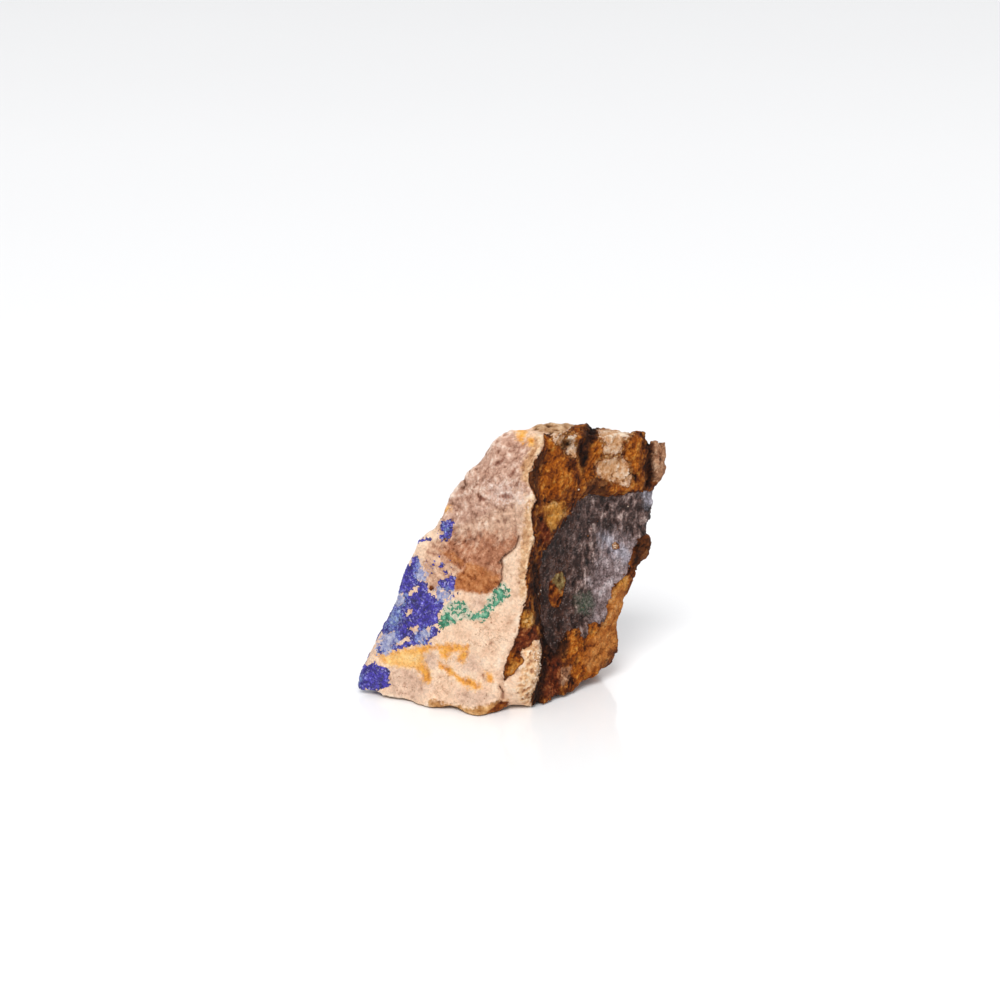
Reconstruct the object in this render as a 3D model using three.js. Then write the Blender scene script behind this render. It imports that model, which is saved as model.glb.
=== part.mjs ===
// Azurite malachite hand specimen: one broken wedge of pale carbonate rock, grown and formed as one piece.
// A long crest splits its front. On the left is a broad cream face that carries the azurite and the
// malachite; on the right is a rough limonite flank with a smooth goethite plate set back into it.
// Millimetres. +X runs along the width, +Y to the back and +Z up.
import * as THREE from "three";
import { ConvexHull } from "three/addons/math/ConvexHull.js";
import { ImprovedNoise } from "three/addons/math/ImprovedNoise.js";

// Driving dimensions.
const CORE = new THREE.Vector3(2, 25, 33); // a point inside, from which the whole surface can be seen
const FRONT_EDGE = 2.8; // longest mesh edge on the front
const CREST_EDGE = 2; // longest mesh edge beside the crest, the block and the lip
const BACK_EDGE = 4.2; // longest mesh edge on the back
const FOOT_EDGE = 9; // longest mesh edge on the flat footing
const LINE_STEP = 2; // spacing of the points along the sharp lines
const FACE_ROUGHNESS = 0.3; // height of the grain of the cream face
const FLANK_ROUGHNESS = 0.75; // height of the lumps of the limonite flank
const PLATE_ROUGHNESS = 0.25; // height of the ripples of the goethite plate
const BACK_ROUGHNESS = 1.15; // height of the lumps of the broken back
const LEDGE_STEP = 1.1; // height of the small ledges the back broke into

// The lower edge of the front, from the left tip round the two lobes to the right corner.
const FOOT = [
  [-32.5, 14.5, 1.2],
  [-30.5, 13, 1.3],
  [-28.5, 12.3, 1.3],
  [-26.5, 10.3, 0.4],
  [-21, 9, 0.5],
  [-19, 6.7, 0.4],
  [-15, 4.2, 0.4],
  [-11.5, 4, 1],
  [-9.5, 2.8, 0.9],
  [-8, 1.5, 0.4],
  [-6.5, 0.3, 0.2],
  [-5, -0.4, 0],
  [-3.5, 0, 0],
  [-2, 1, 0.2],
  [0, 2, 0.9],
  [0.5, 2, 2.5],
  [4, 4.6, 1],
  [7.5, 5.5, 0.1],
  [8.5, 6.5, 0.8],
  [10, 7.2, 0.4],
  [12.5, 9.3, 0.8],
  [15, 12, 0.9],
  [17, 14, 1.5],
  [20.5, 17.5, 2.4],
  [23, 19.5, 3.8],
  [25, 21.5, 5],
];

// The left edge, from the azurite tip up to the top corner.
const LEFT_EDGE = [
  [-32.5, 14.5, 1.2],
  [-32.5, 16, 3.5],
  [-31, 16.5, 6.5],
  [-29.5, 16.5, 9.5],
  [-28.5, 17, 12],
  [-25, 17, 17.5],
  [-24, 16.5, 21],
  [-22, 16.5, 28],
  [-19.5, 16.5, 33.5],
  [-18.5, 16.5, 36],
  [-15.5, 16.5, 38.5],
  [-14, 16, 40],
  [-12.5, 15.5, 45],
  [-9.5, 15.5, 49.5],
  [-7.5, 15, 52.5],
  [-4, 15, 55.5],
  [-2, 14.5, 59.5],
  [0, 14, 62],
];

// The back rim of the narrow top, left to right.
const TOP_BACK = [
  [2, 15.5, 62.5],
  [6, 18, 61.5],
  [9, 19.5, 63],
  [13.5, 22, 62],
  [17, 23.5, 61],
  [20.5, 25, 60.5],
  [22.5, 26, 59.5],
  [26, 28, 58.5],
  [32, 31, 57.5],
  [34, 31.5, 55.5],
  [38, 32.5, 54.5],
];

// The front rim of the narrow top, from the head of the crest to the right.
const TOP_FRONT = [
  [13.5, 13, 62.5],
  [16.5, 15.5, 61],
  [20, 18.5, 60.5],
  [22.5, 20.5, 60],
  [25.5, 22.5, 59],
  [29.5, 25, 58.5],
  [32.5, 28, 56.5],
];

// The right edge, from the overhanging top corner down past the limonite bump to the foot.
const RIGHT_EDGE = [
  [38, 32, 52.5],
  [37.5, 31.5, 48],
  [37, 31.5, 45.5],
  [35.5, 31.5, 43.5],
  [35, 31, 41],
  [33.5, 30.5, 35.5],
  [33, 30, 33],
  [33.5, 30, 31.5],
  [33.5, 29.5, 27.5],
  [31, 28.5, 26],
  [31, 28, 24.5],
  [29.5, 26.5, 22.5],
  [28.5, 25.5, 18],
  [28.5, 25, 15.5],
  [27, 24, 10.5],
  [25.5, 22.5, 6],
];

// The crest between the cream face and the flank, head to foot.
const CREST = [
  [9.5, 12, 62.5],
  [9, 9.8, 60],
  [8, 8.2, 57.8],
  [6.5, 6.4, 55],
  [6, 5.7, 53.4],
  [7.5, 5, 50],
  [7, 4.5, 47.5],
  [7, 4, 44],
  [7.5, 3.5, 41],
  [6.5, 3.5, 37.5],
  [6, 3, 33],
  [6, 2.5, 28.5],
  [5, 2, 25],
  [4, 2, 22.5],
  [4, 1.5, 19],
  [2, 1, 15.5],
  [1, 1, 11],
  [0, 1, 7.5],
  [0.5, 1.5, 4.5],
];

// The foot of the short steep side of the crest, where the flank begins.
const CREST_SIDE = [
  [11, 14.5, 61],
  [10, 12.5, 59],
  [9, 10.6, 57],
  [7.6, 8.4, 54],
  [7.6, 7.8, 52],
  [8.5, 8, 48.5],
  [8, 7.5, 45],
  [8, 7, 41.5],
  [8, 8, 38],
  [8, 9.5, 34],
  [8.5, 11.5, 29.5],
  [9, 12.5, 25.5],
  [9, 13, 22],
  [9.5, 13, 18.5],
  [10, 13, 13.5],
  [11, 11.5, 8],
];

// Broad lows and highs of the cream face: upper swell, stained hollow and its lip, azurite crust,
// ochre ledge, the hollow below the ledge and the azurite knob on the tip.
const CREAM_FACE = [
  [-3, 10.5, 51],
  [1.5, 11.5, 57],
  [-11, 11.2, 32.5],
  [-5, 8.9, 30.8],
  [-1.2, 7.2, 34],
  [0.8, 4.9, 34.5],
  [-10.5, 9.6, 26.6],
  [-4.5, 6.8, 26.2],
  [-0.5, 4.9, 28.6],
  [-17.5, 11.9, 22.2],
  [-21, 12.6, 17],
  [-26.5, 14.2, 10.2],
  [-20.5, 11.2, 12],
  [-13.5, 7.8, 14],
  [-6.8, 4.6, 14.8],
  [-1.5, 2.2, 14.5],
  [-29.3, 13.2, 7.5],
  [-24, 12.3, 4.5],
  [-18, 9.3, 4.5],
  [-12.5, 6.8, 5],
  [-6.5, 3.4, 5.5],
  [-2, 1.6, 6],
  [-29, 13, 3.5],
  [-22.5, 10.2, 2],
  [-12, 4.8, 2.8],
  [-6.5, 0.8, 2],
  [-4.5, 0.2, 1.8],
  [-2.5, 0.8, 2.2],
];

// The limonite flank between the steep side of the crest and the plate, and below the plate.
const FLANK = [
  [12.5, 13, 57],
  [14, 13, 52],
  [11.5, 11, 47.5],
  [16, 15.5, 55],
  [18.5, 17, 51.5],
  [10, 9.5, 45],
  [20, 18.5, 54.5],
  [22.5, 20.5, 57.5],
  [27.5, 23.5, 55.5],
  [24.5, 21.5, 51],
  [27.5, 23.5, 48.5],
  [31.5, 26, 52],
  [12.5, 12.5, 3],
  [16.5, 15.5, 5],
  [20.5, 18.5, 6],
  [24, 21, 8],
  [13.5, 14, 8.5],
  [17.5, 17, 11],
  [22.5, 20.5, 13],
];

// The upper edge of the hollow: the rim down the flank, then the lip that overhangs the plate.
const HOLLOW_RIM = [
  [9, 8.5, 37],
  [11, 10.5, 40.5],
  [13, 12.5, 43.5],
  [15.5, 14.5, 46],
  [18, 17, 48],
  [20, 18.5, 48],
  [22.5, 20, 47.5],
  [25, 21.5, 46.5],
  [27, 23, 46],
  [29.5, 24.5, 45.5],
  [31.5, 26, 45],
  [33.5, 28, 45],
];

// The foot of that step, on the plate.
const HOLLOW_FOOT = [
  [10, 10.6, 36],
  [11.7, 12, 39.5],
  [14, 14, 42],
  [16.3, 16.2, 44.2],
  [18.6, 19, 45.2],
  [20.7, 20.8, 44.8],
  [23, 22.2, 44.2],
  [25.3, 23.7, 43.2],
  [27.5, 25, 43],
  [29.7, 26.5, 42.8],
  [32, 28, 42.7],
];

// The goethite plate.
const PLATE = [
  [22.5, 22, 38.5],
  [27.5, 25.8, 35.5],
  [13.5, 14, 35],
  [16, 16.9, 31],
  [20.5, 20.3, 30],
  [29, 27, 27.5],
  [14.5, 15.9, 22],
  [23, 21.8, 20],
  [17, 17.2, 14],
];

// The narrow block that leans against the foot of the crest.
const BLOCK = [
  [4.5, 1, 16],
  [9, 3, 16.5],
  [9, 2.5, 14],
  [8.5, 1.5, 10.5],
  [8, 1, 7],
  [7.2, 2.4, 3.6],
  [1.6, 1.6, 8],
  [4.5, 0.8, 11.5],
  [4.2, 1.6, 5.5],
];

// The back, from the top rim down to the floor.
const BACK = [
  [7, 25, 57.5],
  [16, 30, 56.5],
  [26, 35, 54],
  [34.5, 38, 50],
  [-4.5, 24, 50],
  [-10.5, 26, 41],
  [-15, 25, 31],
  [-20.5, 27, 19],
  [1, 31, 52],
  [12, 35.5, 50.5],
  [22, 38.5, 48.5],
  [31, 38.5, 46],
  [-6, 33, 45.5],
  [2, 36.5, 45],
  [12.5, 39.5, 44],
  [23, 42, 42],
  [32, 40, 39.5],
  [-13, 34, 30],
  [-5, 40.5, 29],
  [6, 44, 29.5],
  [16, 45.5, 28],
  [27.5, 41.5, 28],
  [-16, 37, 17],
  [-4, 44.5, 18],
  [3, 45, 11],
  [13, 47.5, 19],
  [24, 43.5, 17],
  [30, 35, 29],
  [-22, 33, 8],
  [14, 46.5, 8],
  [25, 38, 9],
  [26.5, 31, 13],
];

// The rim of the underside at the back, and the hollow places in the underside.
const UNDERSIDE = [
  [-28, 22, 1],
  [-22, 34, 1.2],
  [-11, 42, -1],
  [4, 46.5, 1],
  [16, 45.5, -1],
  [24.5, 36, 1.5],
  [24.5, 27, 2.5],
  [-20, 18, 1.2],
  [-10, 12, -1],
  [3, 13, -1],
  [14, 21, -1],
  [17, 33, 0.9],
  [2, 36, -1],
  [-14, 30, -1],
  [0, 24, -1],
  [10, 40, -1],
];

// Cracks, seams and channels: a path, how wide and how deep.
const GROOVES = [
  { width: 1, depth: 1.6, path: [[0.2, 1, 7.5], [0.6, 1.4, 5], [0.4, 1.8, 2.8]] },
  { width: 1.5, depth: 2, path: [[6, 1.2, 19.4], [4.6, 0.9, 17.6], [2.6, 0.9, 13.4], [1.2, 1.2, 9.6]] },
  { width: 1.3, depth: 2.6, path: [[22, 21.5, 59.5], [21, 20.6, 56], [19.4, 19.2, 51.5]] },
  { width: 1.1, depth: 2, path: [[33.4, 28.6, 56], [33.8, 28.8, 51], [34, 29.2, 46.5]] },
  { width: 1, depth: 1.1, path: [[23.5, 21.2, 52.2], [27, 23.4, 52.6]] },
];

// Pits (depth above 0) and knobs (below 0): centre, radius and depth.
const PITS = [
  { at: [15, 14.5, 58.5], radius: 1.8, depth: 2 },
  { at: [-9.5, 12.6, 48.6], radius: 1.5, depth: 0.9 },
  { at: [33.6, 29.6, 29.5], radius: 2.4, depth: -0.8 },
  { at: [10.5, 10.2, 50.5], radius: 2.4, depth: 1 },
  { at: [27, 25, 13.5], radius: 2.4, depth: 0.8 },
];

const noise = new ImprovedNoise();
const vector = ([x, y, z]) => new THREE.Vector3(x, y, z);
const smooth = THREE.MathUtils.smoothstep;
const lines = (...features) => features.map((feature) => feature.map(vector));
const creases = lines(CREST, CREST_SIDE, HOLLOW_RIM, BLOCK);
const sharp = lines(FOOT, LEFT_EDGE, TOP_BACK, TOP_FRONT, RIGHT_EDGE, CREST, CREST_SIDE, HOLLOW_RIM);
const grooves = GROOVES.map(({ width, depth, path }) => ({ width, depth, path: path.map(vector) }));
const pits = PITS.map(({ at, radius, depth }) => ({ at: vector(at), radius, depth }));

// A line of the cage with points set in, so that none are more than a step apart.
function spaced(line, step) {
  const points = line.map(vector);
  return points.flatMap((point, i) => {
    const before = points[i - 1] ?? point;
    const count = Math.max(1, Math.ceil(before.distanceTo(point) / step));
    return i === 0 ? [point] : Array.from({ length: count }, (_, k) => before.clone().lerp(point, (k + 1) / count));
  });
}

// Distance from a point to a path of straight pieces.
function distanceToPath(point, path) {
  const nearest = new THREE.Vector3();
  const line = new THREE.Line3();
  let least = Infinity;
  for (let i = 1; i < path.length; i++) {
    line.set(path[i - 1], path[i]).closestPointToPoint(point, true, nearest);
    least = Math.min(least, nearest.distanceTo(point));
  }
  return least;
}

// How far a point is round the back, from 0 on the front to 1.
function backShare(point) {
  const edge = 16 + 0.235 * (point.x + 30);
  return smooth(point.y - edge, -1, 5);
}

// The longest edge the mesh may have at a point.
function edgeLimit(point) {
  if (point.z < 0.05) return FOOT_EDGE;
  const back = backShare(point);
  const near = Math.min(...creases.map((line) => distanceToPath(point, line)));
  const front = THREE.MathUtils.lerp(CREST_EDGE, FRONT_EDGE, smooth(near, 0.8, 3.5));
  const cracked = grooves.some(({ width, path }) => distanceToPath(point, path) < 2 * width);
  return THREE.MathUtils.lerp(cracked ? CREST_EDGE : front, BACK_EDGE, back);
}

// Triangles over the cage: the convex hull of the directions in which its points lie from the core.
function cover(points) {
  const directions = points.map((point) => point.clone().sub(CORE).normalize());
  const order = new Map(directions.map((direction, i) => [direction, i]));
  return new ConvexHull().setFromPoints(directions).faces.map((face) => {
    const { edge } = face;
    return [edge.tail(), edge.head(), edge.next.head()].map((vertex) => order.get(vertex.point));
  });
}

// Halves every edge over its limit, pass after pass, and fans each triangle over its new points.
function refine(points, triangles) {
  for (let changed = true; changed; ) {
    changed = false;
    const middles = new Map();
    const middle = (a, b) => {
      const name = a < b ? `${a} ${b}` : `${b} ${a}`;
      if (!middles.has(name)) {
        const at = points[a].clone().lerp(points[b], 0.5);
        const split = points[a].distanceTo(points[b]) > edgeLimit(at);
        middles.set(name, split ? points.push(at) - 1 : -1);
      }
      return middles.get(name);
    };
    triangles = triangles.flatMap((triangle) => {
      const halves = triangle.map((a, i) => middle(a, triangle[(i + 1) % 3]));
      const count = halves.filter((half) => half >= 0).length;
      if (count === 0) return [triangle];
      changed = true;
      const start = count === 2 ? (halves.indexOf(-1) + 1) % 3 : halves.findIndex((half) => half >= 0);
      const [a, b, c] = [0, 1, 2].map((i) => triangle[(start + i) % 3]);
      const [ab, bc, ca] = [0, 1, 2].map((i) => halves[(start + i) % 3]);
      if (count === 1) return [[a, ab, c], [ab, b, c]];
      if (count === 2) {
        const quad = points[a].distanceTo(points[bc]) < points[c].distanceTo(points[ab]);
        return quad
          ? [[ab, b, bc], [a, ab, bc], [a, bc, c]]
          : [[ab, b, bc], [a, ab, c], [ab, bc, c]];
      }
      return [[a, ab, ca], [ab, b, bc], [ca, bc, c], [ab, bc, ca]];
    });
  }
  return triangles;
}

// Rounds the flats between the sharp lines: each point moves towards the middle of its neighbours.
function weather(points, triangles, passes) {
  const neighbours = points.map(() => new Set());
  for (const [a, b, c] of triangles) {
    neighbours[a].add(b).add(c);
    neighbours[b].add(c).add(a);
    neighbours[c].add(a).add(b);
  }
  const share = points.map((point) => {
    const fixed = point.z < 0.3 || sharp.some((line) => distanceToPath(point, line) < 0.02);
    return fixed ? 0 : THREE.MathUtils.lerp(0.6, 0.12, backShare(point));
  });
  for (let pass = 0; pass < passes; pass++) {
    const middles = points.map((point, i) => {
      const sum = new THREE.Vector3();
      neighbours[i].forEach((j) => sum.add(points[j]));
      return sum.divideScalar(neighbours[i].size);
    });
    points.forEach((point, i) => point.lerp(middles[i], share[i]));
  }
}

// Sum of noise at one size and its halves.
function grain(point, size, octaves) {
  let sum = 0;
  for (let i = 0; i < octaves; i++) {
    const scale = 2 ** i / size;
    sum += noise.noise(point.x * scale + 7.3 * i, point.y * scale + 31.7, point.z * scale) / 2 ** i;
  }
  return sum;
}

// Broken rock falls into ledges: noise drawn towards whole steps.
function ledges(point) {
  const height = 3.2 * grain(point, 15, 2);
  const whole = Math.floor(height);
  return (whole + smooth(height - whole, 0.35, 0.65)) * LEDGE_STEP;
}

// How far the surface stands out from the cage at a point.
function relief(point) {
  const back = backShare(point);
  const flank = smooth(point.x - 8, -1, 1) * smooth(point.y - 7, -1, 1);
  const across = (point.x - 20 + 0.16 * (30 - point.z)) / 10;
  const along = (point.z - 29) / 15;
  const plate = flank * (1 - smooth(across * across + along * along, 0.8, 1.2));
  const roughness = THREE.MathUtils.lerp(
    THREE.MathUtils.lerp(FACE_ROUGHNESS, FLANK_ROUGHNESS, flank),
    PLATE_ROUGHNESS,
    plate,
  );
  let height = (1 - back) * roughness * grain(point, 5, 3);
  height += back * (BACK_ROUGHNESS * grain(point, 9, 3) + ledges(point) - LEDGE_STEP);
  for (const { width, depth, path } of grooves) {
    height -= depth * Math.exp(-((distanceToPath(point, path) / width) ** 2));
  }
  for (const { at, radius, depth } of pits) {
    height -= depth * Math.exp(-((at.distanceTo(point) / radius) ** 2));
  }
  return height;
}

// Moves a point along its line from the core, and stops it at the floor.
function shaped(point) {
  const out = point.clone().sub(CORE);
  const length = out.length();
  out.multiplyScalar(1 + relief(point) / length);
  if (CORE.z + out.z < 0.02) out.multiplyScalar(-CORE.z / out.z);
  return out.add(CORE);
}

const edges = [FOOT, LEFT_EDGE, TOP_BACK, TOP_FRONT, RIGHT_EDGE, CREST, CREST_SIDE, HOLLOW_RIM, HOLLOW_FOOT];
const faces = [CREAM_FACE, FLANK, PLATE, BLOCK, BACK, UNDERSIDE];
const cage = [
  ...edges.flatMap((line) => spaced(line, LINE_STEP)),
  ...faces.flatMap((feature) => feature.map(vector)),
].filter((point, i, all) => all.findIndex((other) => other.distanceTo(point) < 0.01) === i);
const triangles = refine(cage, cover(cage));
weather(cage, triangles, 6);
const surface = cage.map(shaped);

const geometry = new THREE.BufferGeometry().setFromPoints(surface);
geometry.setIndex(triangles.flat());
geometry.computeBoundingBox();
const middle = geometry.boundingBox.getCenter(new THREE.Vector3());
geometry.translate(-middle.x, -middle.y, -geometry.boundingBox.min.z);
geometry.computeVertexNormals();

const stone = new THREE.Mesh(
  geometry,
  new THREE.MeshStandardMaterial({ color: 0xc9a382, roughness: 0.85, metalness: 0 }),
);
stone.name = "stone";

const specimen = new THREE.Group();
specimen.name = "azurite_malachite_specimen";
specimen.add(stone);

export default specimen;
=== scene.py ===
# Azurite and malachite on a broken wedge of carbonate rock: one hand specimen, about 7 cm wide.
import math

import bmesh
import bpy
import numpy as np
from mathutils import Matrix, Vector, noise


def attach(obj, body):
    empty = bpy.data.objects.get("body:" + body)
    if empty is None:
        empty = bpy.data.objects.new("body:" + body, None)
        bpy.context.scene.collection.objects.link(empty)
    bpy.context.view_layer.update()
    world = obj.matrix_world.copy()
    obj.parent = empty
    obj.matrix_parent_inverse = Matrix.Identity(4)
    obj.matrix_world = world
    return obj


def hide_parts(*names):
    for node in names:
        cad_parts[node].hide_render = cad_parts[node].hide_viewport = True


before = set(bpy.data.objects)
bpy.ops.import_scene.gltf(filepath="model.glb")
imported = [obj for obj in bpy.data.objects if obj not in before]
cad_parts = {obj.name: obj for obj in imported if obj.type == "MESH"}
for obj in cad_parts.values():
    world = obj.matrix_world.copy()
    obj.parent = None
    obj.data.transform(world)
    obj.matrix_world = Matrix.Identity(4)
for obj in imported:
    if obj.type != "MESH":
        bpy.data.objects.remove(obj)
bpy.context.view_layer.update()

# ---- Viewpoint ------------------------------------------------------------------------------
# The specimen is looked down on at a low angle from 0.7 m off, so its edges run nearly parallel.
# Outlines below are in view points, a thousandth of the view's side, from its top left.
VIEW_TILT = math.radians(18)
VIEW_LENS = 112.0
VIEW_SENSOR = 36.0
VIEW_SIDE = 1000
VIEW_POINT = 0.225  # mm that one view point spans at the rock
EYE = np.array([-2.758, -669.27, 260.764])  # mm

camera = bpy.data.objects.new("viewpoint", bpy.data.cameras.new("viewpoint"))
camera.data.sensor_width = VIEW_SENSOR
camera.data.lens = VIEW_LENS
camera.data.clip_start = 0.01  # m
camera.location = EYE / 1000
camera.rotation_euler = (math.pi / 2 - VIEW_TILT, 0, 0)
bpy.context.scene.collection.objects.link(camera)
bpy.context.scene.camera = camera


def view_points(points):
    """Where points of the rock, in mm, stand in the view: across and down."""
    across, away, up = (points - EYE).T
    ahead = away * math.cos(VIEW_TILT) - up * math.sin(VIEW_TILT)
    rise = away * math.sin(VIEW_TILT) + up * math.cos(VIEW_TILT)
    reach = VIEW_LENS / VIEW_SENSOR * VIEW_SIDE / ahead
    return np.column_stack([VIEW_SIDE / 2 + across * reach, VIEW_SIDE / 2 - rise * reach])


# ---- Carbonate rock -------------------------------------------------------------------------
# The body of the specimen: one wedge of cream to mauve dolomitic limestone, broken on every side.
# Iron oxides soaked into it. They left a brown and a yellow stain on the left face, and they
# cover the right flank as a rough rind of limonite.
ROCK_PITCH = 0.42  # mm between neighbouring points of the surface
SHARP_ANGLE = math.radians(38)
SHARP_CREASE = 0.55
WEATHERING = 5  # smoothing passes
STREAK_FRAME = np.array([[0.6, -0.8, 0], [0, 0, 1], [0.8, 0.6, 0]])  # first axis up the left edge
REAR_LIMONITE = 3  # mm right of the middle, where the limonite ends on the far side
FOOT_HEIGHT = 0.12  # mm below which the rock stands on its flat footing
RIM_LEAN = 0.235  # mm that the rim runs back for each one to the right
RIM_PLACE = 0.17  # mm that the rim lies back at the middle
RIM_MARGIN = 1  # mm past the rim where a mineral of the front begins to thin out
BACK_REACH = 4  # mm past the rim where the rough back is at its full height
BROWN_FADE = 6  # mm over which the brown stain fades out upwards
PLATE_HOLLOW = 0.9  # mm
SHOULDER_HEIGHT = 1.1  # mm
SHOULDER_WIDTH = 2  # mm
CRACK_DEPTH = 0.45  # mm
CRACK_SLOPE = 0.35  # mm
HOLLOW_REACH = 12  # smoothing passes that find what lies deeper than its surroundings

FLANK = [
    (543.8, 434), (544, 444), (540, 453), (534.5, 460.5), (532, 470), (528.6, 475.8), (528.8, 484),
    (533, 492), (536, 499.6), (531.5, 508.5), (531.5, 519), (532.5, 529), (535.3, 539), (531, 549.5),
    (528.5, 560), (527, 570), (525.2, 579), (527.2, 592.7), (525, 604), (522, 613), (519.8, 620),
    (518.5, 631), (514.5, 642), (511, 650), (506, 661), (503.5, 672), (504, 682), (509, 677),
    (513.5, 674), (519.6, 667), (523.4, 661), (520.5, 654), (523, 649), (530, 646), (534, 640),
    (539.5, 640), (541.5, 650), (540.7, 660), (540, 670.6), (537, 684.5), (532.7, 693), (531, 699.5),
    (532.7, 711), (720, 720), (720, 400), (592, 400), (584, 424), (575, 425.5), (565, 431.5),
    (557.3, 435.2), (550, 434.5),
]
LIMONITE_SPOTS = [
    [(484, 716), (492, 708), (500, 700), (508, 702), (509, 707), (500, 713), (490, 721), (480, 725)],
    [(430, 585), (434, 586.5), (434.5, 590), (431, 591), (429, 588)],
]
PLATE = [
    [(589.4, 491.6), (608.6, 494), (634.7, 490.5), (645, 489), (664, 488), (664, 518), (652, 534),
     (641, 538), (633, 550.6), (631, 566.5), (624, 579), (617, 584.7), (612.3, 588.8), (612.9, 598),
     (607.8, 607), (608.8, 615.3), (602.7, 626), (595.5, 623.5), (588.4, 625.5), (590.4, 634.7),
     (585.3, 640.8), (581.2, 637.8), (577, 630.6), (571, 630.6), (566, 634.7), (560.8, 641.8),
     (556, 655), (548, 650), (543, 636), (539.6, 624), (537.5, 602), (537.5, 573), (540.6, 550.6),
     (544, 547), (551, 536), (561.8, 520), (571.6, 509), (575, 500), (582, 496)],
]
SHOULDER = [(649, 524), (646, 536)]
OLIVE_SPOTS = [
    [(561.8, 571.4), (565.4, 579.6), (563.9, 587.8), (559.8, 594), (557.8, 588), (551.6, 580.6),
     (555.7, 574.5)],
]
CREAM_PATCHES = [
    [(553, 436), (560, 433), (566, 436), (563, 442), (557, 444)],
    [(612.5, 543), (615.5, 542), (618.5, 544.5), (618, 548.5), (614.5, 549.5), (612, 547)],
    [(597, 430), (612, 426), (633, 428), (628, 438), (622, 443), (621, 452), (612, 456), (603, 452),
     (606, 443), (600, 437)],
    [(597, 464), (605, 458), (621, 457), (628, 465), (631, 478), (628, 486), (614, 481), (600, 478)],
    [(563, 440), (570, 434), (576, 436), (573, 444), (577, 450), (575, 456), (566, 453)],
]
# Painted shadow: near black where shade falls, in the hollow beside the crest, the gap by the top ledge,
# the groove at the right and the hollow's foot. These zones also dip.
PAINTED_SHADOW_ZONES = [
    [(541, 600), (550, 606), (560, 612), (566, 630), (561, 642), (559, 652), (551, 661), (543, 655),
     (540, 640), (538, 618)],
    [(588.6, 424), (597.5, 424), (595, 438), (590, 450), (587, 462), (584, 473), (580, 464),
     (577, 450), (583, 440)],
    [(562, 441), (571, 440), (571, 447), (565, 449)],
    [(644, 430), (653, 430), (653, 460), (653, 480), (645, 490), (645, 470), (646, 450)],
    [(531, 558), (537, 560), (541, 575), (540, 600), (542, 625), (537, 625), (533, 605), (531, 585)],
    [(541, 655), (548, 662), (546, 680), (541, 700), (533, 709), (532, 696), (539, 680)],
]
BROWN_STAIN = [
    (520, 480), (516, 507), (517, 524), (518.5, 537), (515.7, 547), (507, 554), (501.5, 560),
    (502.4, 566.5), (501.4, 573), (501.5, 579), (499, 586), (492, 591.7), (484, 594), (470, 592),
    (461, 590), (455, 591), (453, 584), (457, 577), (461, 571), (456, 566), (449, 564), (441, 561),
    (426, 553), (430, 530), (445, 500),
]
BROWN_TOP = 536  # view points down, where the brown stain ends upwards
BROWN_CORE = [
    (447, 558), (443, 546), (448, 532), (458, 520), (476, 512), (492, 508), (506, 509), (518, 520),
    (527, 545), (517, 575), (502, 600), (448, 600), (446, 575), (452, 566),
]
RUST_STAIN = [
    [(452, 587), (455, 579), (460, 572), (467, 563), (482, 566), (494, 574), (501, 576), (499, 586),
     (492, 591.7), (484, 594), (470, 592), (461, 590), (455, 591)],
    [(440, 551), (452, 553), (464, 562), (470, 570), (463, 566), (450, 560)],
]
MAUVE_ZONES = [
    [(546, 436), (545, 447), (536, 440), (520, 438), (503, 424), (474, 444), (452, 472), (434, 506),
     (440, 520), (440, 540), (462, 550), (480, 535), (500, 515), (510, 506), (516, 490), (530, 494),
     (533, 484), (529, 472), (537, 456)],
]
BLUSH_ZONES = [
    [(421, 652), (432, 650), (440, 655), (438, 668), (427, 670), (421, 662)],
    [(389, 667), (412, 666), (428, 672), (436, 686), (420, 700), (398, 698), (388, 690)],
    [(455, 690), (484, 688), (494, 697), (486, 706), (464, 706), (452, 698)],
    [(459, 661), (472, 656), (482, 661), (478, 672), (464, 672)],
    [(472, 594), (484, 594), (485, 612), (478, 616), (471, 606)],
]
FADED_ZONES = [
    [(522, 506), (510, 500), (480, 520), (456, 526), (446, 536), (438, 552), (446, 562), (466, 566),
     (486, 566), (506, 552), (517, 540), (526, 552), (526, 530)],
]
BLOCK_ZONES = [
    [(522, 648), (533, 640), (543, 652), (541, 672), (535, 690), (529, 706), (522, 704), (516, 690),
     (520, 674), (525, 662)],
]
SPECKLED_ZONES = [
    [(474, 624), (490, 618), (506, 622), (508, 640), (498, 654), (482, 652), (474, 642)],
    [(452, 690), (470, 694), (486, 688), (492, 700), (474, 706), (456, 702)],
    [(388, 672), (404, 676), (418, 690), (402, 696), (390, 688)],
    [(442, 546), (470, 528), (506, 518), (514, 544), (500, 560), (499, 586), (476, 594), (456, 588)],
]
RED_PITS = [
    [(493, 464.5), (497, 462), (500, 459.5), (504, 459), (502, 463), (498, 465)],
    [(501, 496), (505, 493), (510, 495), (513, 499), (508, 498), (504, 500)],
    [(477, 495), (481, 496), (486, 499), (484, 501), (480, 500)],
    [(509, 476), (512, 471), (515, 469), (514, 474)],
]
CREST_ZONES = [
    [(545, 434), (544, 447), (536, 458), (532, 474), (530, 486), (522, 480), (521, 468), (527, 454),
     (532, 444), (536, 436)],
    [(537, 492), (533, 506), (533, 528), (536, 540), (531, 556), (527, 576), (527, 600), (521, 600),
     (519, 576), (521, 548), (524, 520), (526, 500)],
]
BLEACHED_ZONES = [
    [(487, 484), (505, 482), (517, 487), (527, 493), (526, 504), (505, 502), (490, 498)],
]
TAWNY_ZONES = [
    [(428, 544), (445, 538), (453, 552), (463, 562), (461, 576), (450, 582), (436, 591), (427, 586),
     (423, 570), (425, 556)],
]
TAN_ZONES = [
    [(526, 415), (600, 415), (600, 432), (590, 431), (575, 425.5), (565, 431.5), (557, 435), (545, 433),
     (534, 430)],
]
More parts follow.
